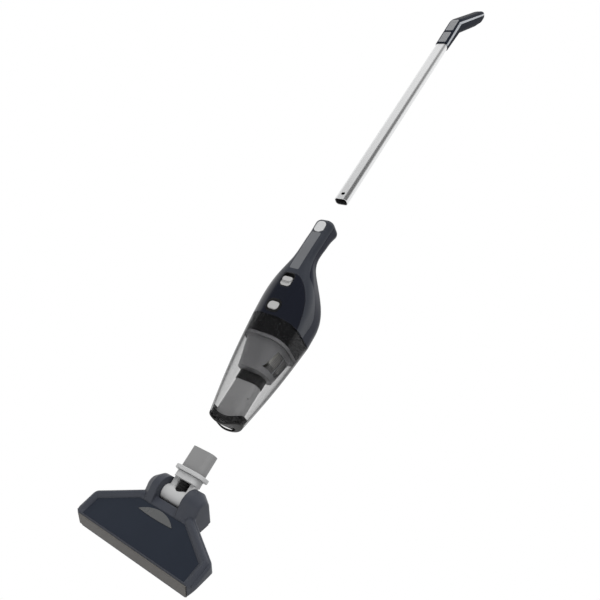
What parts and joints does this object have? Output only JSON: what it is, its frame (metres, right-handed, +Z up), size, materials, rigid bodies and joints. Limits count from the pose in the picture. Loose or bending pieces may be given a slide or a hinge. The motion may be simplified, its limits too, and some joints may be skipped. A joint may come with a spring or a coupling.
{
  "type": "handheld vacuum",
  "caption": "Cordless stick vacuum drawn apart in line: tube with bent grip, hand unit with clear dust bowl, and a wide floor head on a tilting, swivelling neck.",
  "frame": {"origin": "bend of the wand's grip, where the hand holds it", "axes": "+Z up the stick towards the grip, +Y to the back, -Y is the face with the buttons"},
  "size_m": [0.258, 0.1319, 1.473],
  "materials": {
    "aluminium": "satin drawn tube",
    "grey_plastic": "fine texture",
    "charcoal": "fine texture",
    "silver": "silver satin",
    "navy": "high gloss",
    "light_grey": "satin",
    "strip_grey": "satin",
    "grip_rubber": "soft touch",
    "black": "satin",
    "seal": "soft",
    "steel": "plated",
    "board": "solder mask",
    "cell": "sleeve",
    "clear": "clear, polished",
    "duct": "smoked",
    "filter": "pleated",
    "bumper": "satin",
    "window": "polished",
    "felt": "pile",
    "tread": "satin"
  },
  "bodies": {
    "wand": {"wand_tube": "aluminium", "tube_liner": "grey_plastic", "wand_handle_front": "charcoal", "wand_handle_trim": "silver", "wand_handle_rear": "navy", "wand_inlay_lower": "light_grey", "wand_inlay_upper": "light_grey", "wand_grip_pad": "grip_rubber", "wand_screws": "steel"},
    "hand_unit": {"housing_front": "charcoal", "housing_rear": "charcoal", "front_cover": "navy", "handle_inlay": "strip_grey", "switch_well": "black", "release_bezel": "navy", "release_spring": "steel", "bulkhead": "black", "bowl_seal": "seal", "fan_shroud": "grey_plastic", "motor_frame": "grey_plastic", "motor": "steel", "control_board": "board", "micro_switch": "black", "battery_cells": "cell", "battery_cradle": "black", "charge_jack": "black", "housing_screws": "steel"},
    "power_switch": {"power_slider": "light_grey"},
    "latch": {"latch_button": "light_grey"},
    "release": {"release_button": "light_grey"},
    "rotor": {"fan": "black", "motor_shaft": "steel"},
    "bowl": {"bowl_shell": "clear", "nozzle_lip": "black", "bowl_collar": "black", "inlet_duct": "duct", "duct_ring": "black", "flap_pin": "steel", "filter_frame": "grey_plastic", "pleated_filter": "filter"},
    "flap": {"inlet_flap": "seal"},
    "connector": {"connector_tube": "grey_plastic", "connector_flange": "light_grey"},
    "neck": {"neck_yoke": "light_grey", "neck_bellows": "seal"},
    "head": {"head_cover": "charcoal", "head_panel": "navy", "head_bumper": "bumper", "head_window": "window", "head_base": "black", "lint_strips": "felt", "head_screws": "steel", "hinge_pins": "steel", "wheel_axles": "steel"},
    "wheel_left": {"rear_wheel_left": "tread"},
    "wheel_right": {"rear_wheel_right": "tread"},
    "roller_left": {"front_roller_left": "tread"},
    "roller_right": {"front_roller_right": "tread"}
  },
  "joints": [
    {"name": "wand_dock", "type": "slide", "parent": "wand", "child": "hand_unit", "axis": [0, 0, 1], "range_m": [0, 0.094]},
    {"name": "power_slide", "type": "slide", "parent": "hand_unit", "child": "power_switch", "axis": [0, 0, 1], "range_m": [0, 0.006]},
    {"name": "latch_press", "type": "slide", "parent": "hand_unit", "child": "latch", "axis": [0, 1, 0], "range_m": [0, 0.0012], "stiffness_N_per_m": 800, "springref_m": -0.001},
    {"name": "release_press", "type": "slide", "parent": "hand_unit", "child": "release", "axis": [0, 1, 0], "range_m": [0, 0.0025], "stiffness_N_per_m": 500, "springref_m": -0.002},
    {"name": "fan_spin", "type": "hinge", "parent": "hand_unit", "child": "rotor", "pos_m": [0, 0.052, -0.87], "axis": [0, 0, 1], "continuous": true},
    {"name": "bowl_pull", "type": "slide", "parent": "hand_unit", "child": "bowl", "axis": [0, 0, -1], "range_m": [0, 0.12]},
    {"name": "flap_swing", "type": "hinge", "parent": "bowl", "child": "flap", "pos_m": [0, 0.05235, -1.023], "axis": [1, 0, 0], "range_deg": [0, 40]},
    {"name": "head_dock", "type": "slide", "parent": "bowl", "child": "connector", "axis": [0, 0, 1], "range_m": [0, 0.085]},
    {"name": "neck_swivel", "type": "hinge", "parent": "connector", "child": "neck", "pos_m": [0, 0.062, -1.18], "axis": [0, 0, 1], "range_deg": [-60, 60]},
    {"name": "head_tilt", "type": "hinge", "parent": "neck", "child": "head", "pos_m": [0, 0.062, -1.212], "axis": [1, 0, 0], "range_deg": [-57, 23]},
    {"name": "wheel_left_spin", "type": "hinge", "parent": "head", "child": "wheel_left", "pos_m": [-0.04, 0.09219, -1.22419], "axis": [1, 0, 0], "continuous": true},
    {"name": "wheel_right_spin", "type": "hinge", "parent": "head", "child": "wheel_right", "pos_m": [0.04, 0.09219, -1.22419], "axis": [1, 0, 0], "continuous": true},
    {"name": "roller_left_spin", "type": "hinge", "parent": "head", "child": "roller_left", "pos_m": [-0.098, 0.06431, -1.28114], "axis": [1, 0, 0], "continuous": true},
    {"name": "roller_right_spin", "type": "hinge", "parent": "head", "child": "roller_right", "pos_m": [0.098, 0.06431, -1.28114], "axis": [1, 0, 0], "continuous": true}
  ]
}
